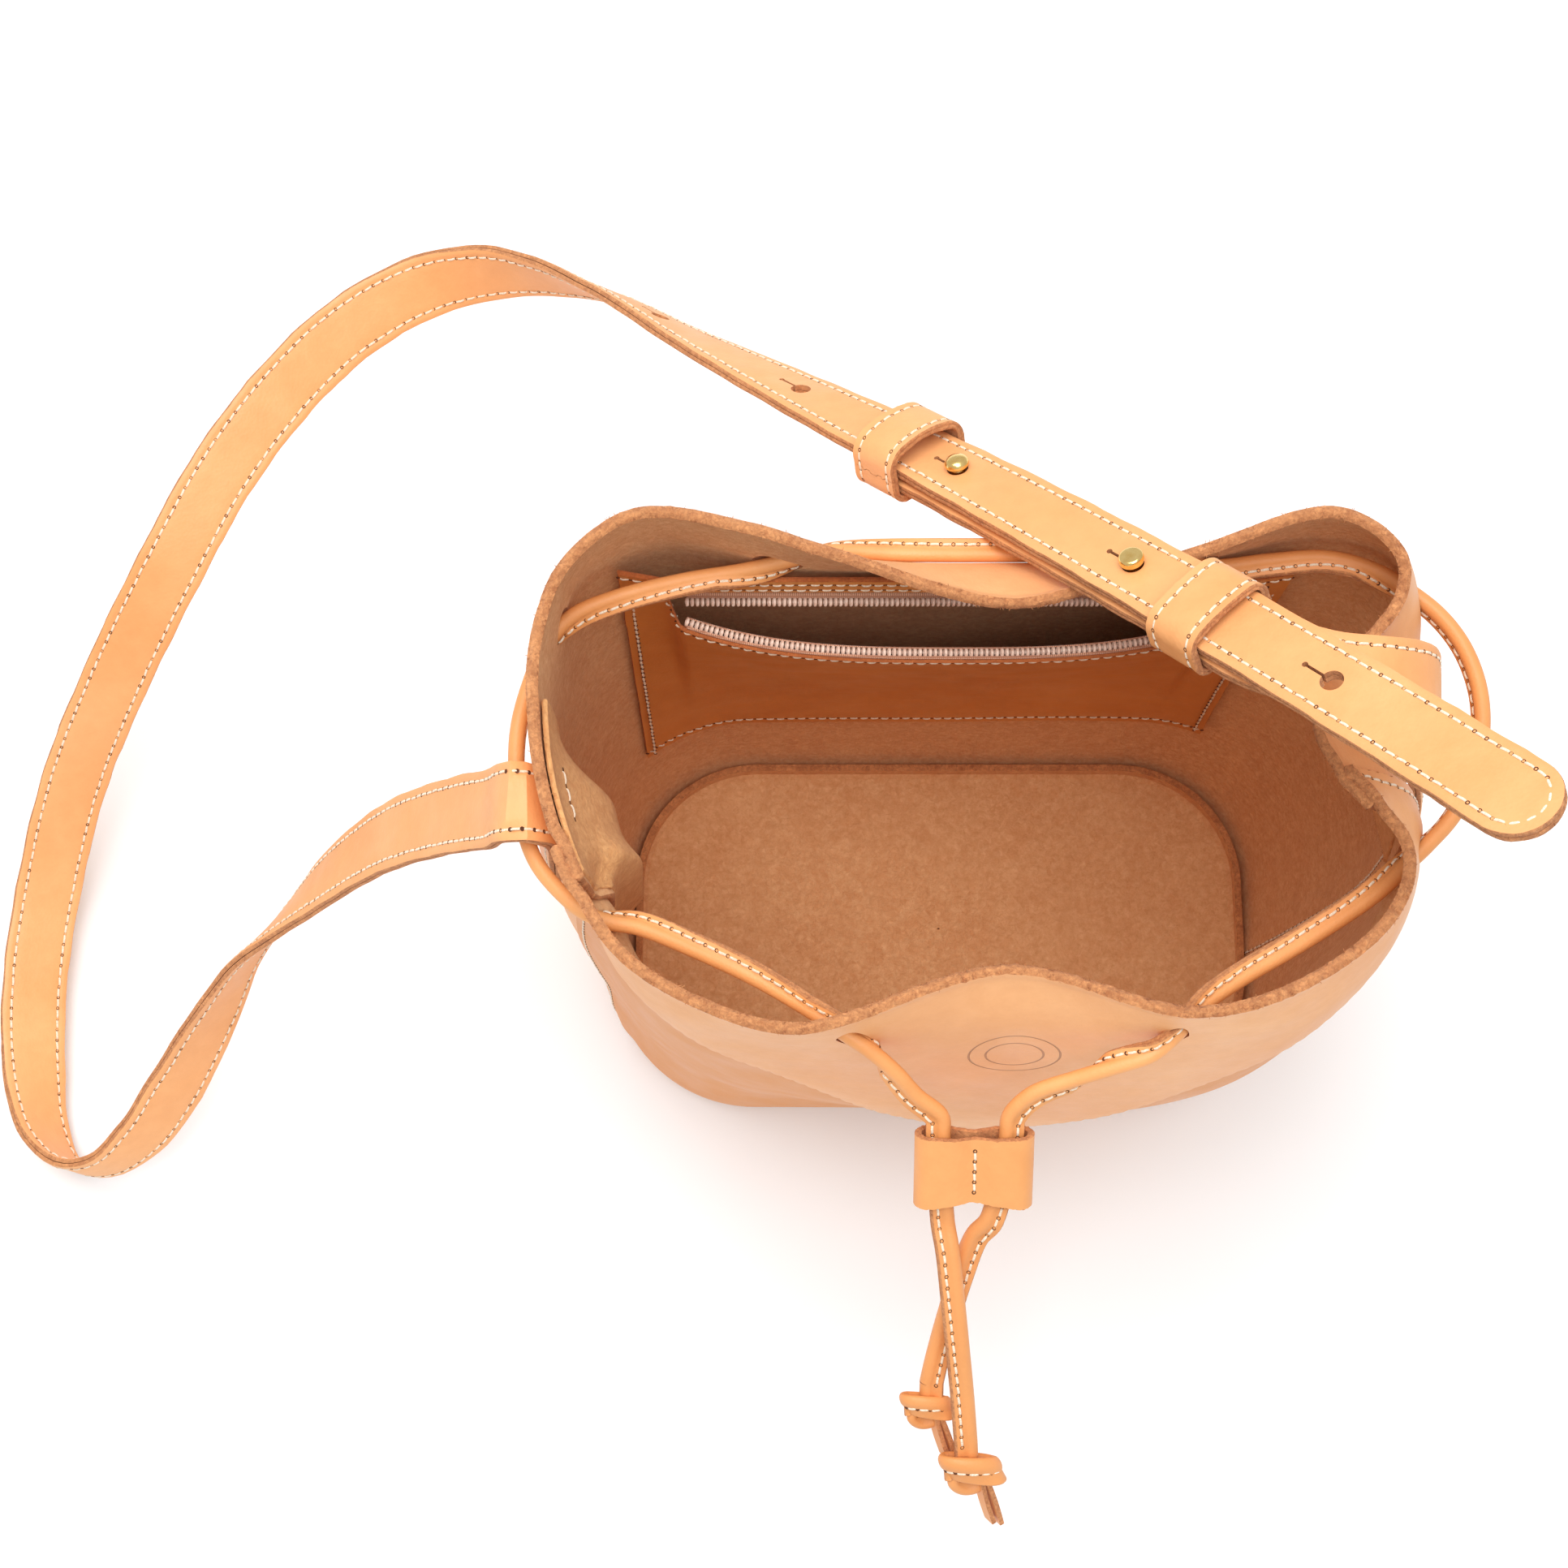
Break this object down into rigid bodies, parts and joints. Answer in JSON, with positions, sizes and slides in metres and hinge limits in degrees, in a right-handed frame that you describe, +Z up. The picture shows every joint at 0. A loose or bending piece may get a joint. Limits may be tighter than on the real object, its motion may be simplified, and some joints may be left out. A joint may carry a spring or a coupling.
{
  "type": "bucket bag",
  "caption": "Leather bucket bag with a drawcord mouth, sliding cord stop, buttoned shoulder strap and zipped inner pocket, standing open.",
  "frame": {"origin": "middle of the base panel, on the surface that the bag stands on", "axes": "+Z up, +X along the wide side to the viewer's right, front with the cord stop at -Y"},
  "size_m": [0.4311, 0.3793, 0.3073],
  "materials": {
    "grain_leather": "natural vegetable-tanned grain, satin",
    "strap_leather": "natural vegetable-tanned grain, satin, raw edges",
    "cord_leather": "natural vegetable-tanned grain, satin",
    "suede_leather": "raw suede",
    "pocket_leather": "grain leather, satin",
    "zip_tape": "woven tape",
    "zip_coil": "nylon coil",
    "brass": "polished",
    "thread": "waxed off-white thread"
  },
  "bodies": {
    "bag": {"front_panel": "grain_leather", "back_panel": "grain_leather", "base_panel": "grain_leather", "left_strap_patch": "suede_leather", "right_strap_patch": "suede_leather", "long_strap_face": "strap_leather", "long_strap_lining": "strap_leather", "short_strap_face": "strap_leather", "short_strap_lining": "strap_leather", "stud_1": "brass", "stud_screw_1": "brass", "stud_2": "brass", "stud_screw_2": "brass", "drawcord": "cord_leather", "cord_tail_left": "cord_leather", "cord_tail_right": "cord_leather", "knot_left": "cord_leather", "knot_right": "cord_leather", "pocket_panel": "pocket_leather", "zip_tape_upper": "zip_tape", "zip_teeth_upper": "zip_coil", "zip_teeth_lower": "zip_coil", "zip_tape_lower": "zip_tape"},
    "keeper_1": {"keeper_1": "strap_leather"},
    "keeper_2": {"keeper_2": "strap_leather"},
    "cord_slider": {"cord_slider": "cord_leather"},
    "zip_slider": {"zip_slider": "brass"},
    "zip_pull": {"zip_pull": "brass"}
  },
  "joints": [
    {"name": "cord_slider_slide", "type": "slide", "parent": "bag", "child": "cord_slider", "axis": [0, -0.8192, -0.5736], "range_m": [-0.003, 0.004]},
    {"name": "keeper_1_slide", "type": "slide", "parent": "bag", "child": "keeper_1", "axis": [0.6174, -0.5783, 0.5333], "range_m": [-0.012, 0.008]},
    {"name": "keeper_2_slide", "type": "slide", "parent": "bag", "child": "keeper_2", "axis": [0.5893, -0.6103, 0.5293], "range_m": [-0.01, 0.003]},
    {"name": "zip_slide", "type": "slide", "parent": "bag", "child": "zip_slider", "axis": [-1, 0, 0], "range_m": [0, 0.122]},
    {"name": "zip_pull_hinge", "type": "hinge", "parent": "zip_slider", "child": "zip_pull", "pos_m": [0.056, 0.04627, 0.19282], "axis": [0, -0.9397, -0.342], "range_deg": [0, 165]}
  ]
}
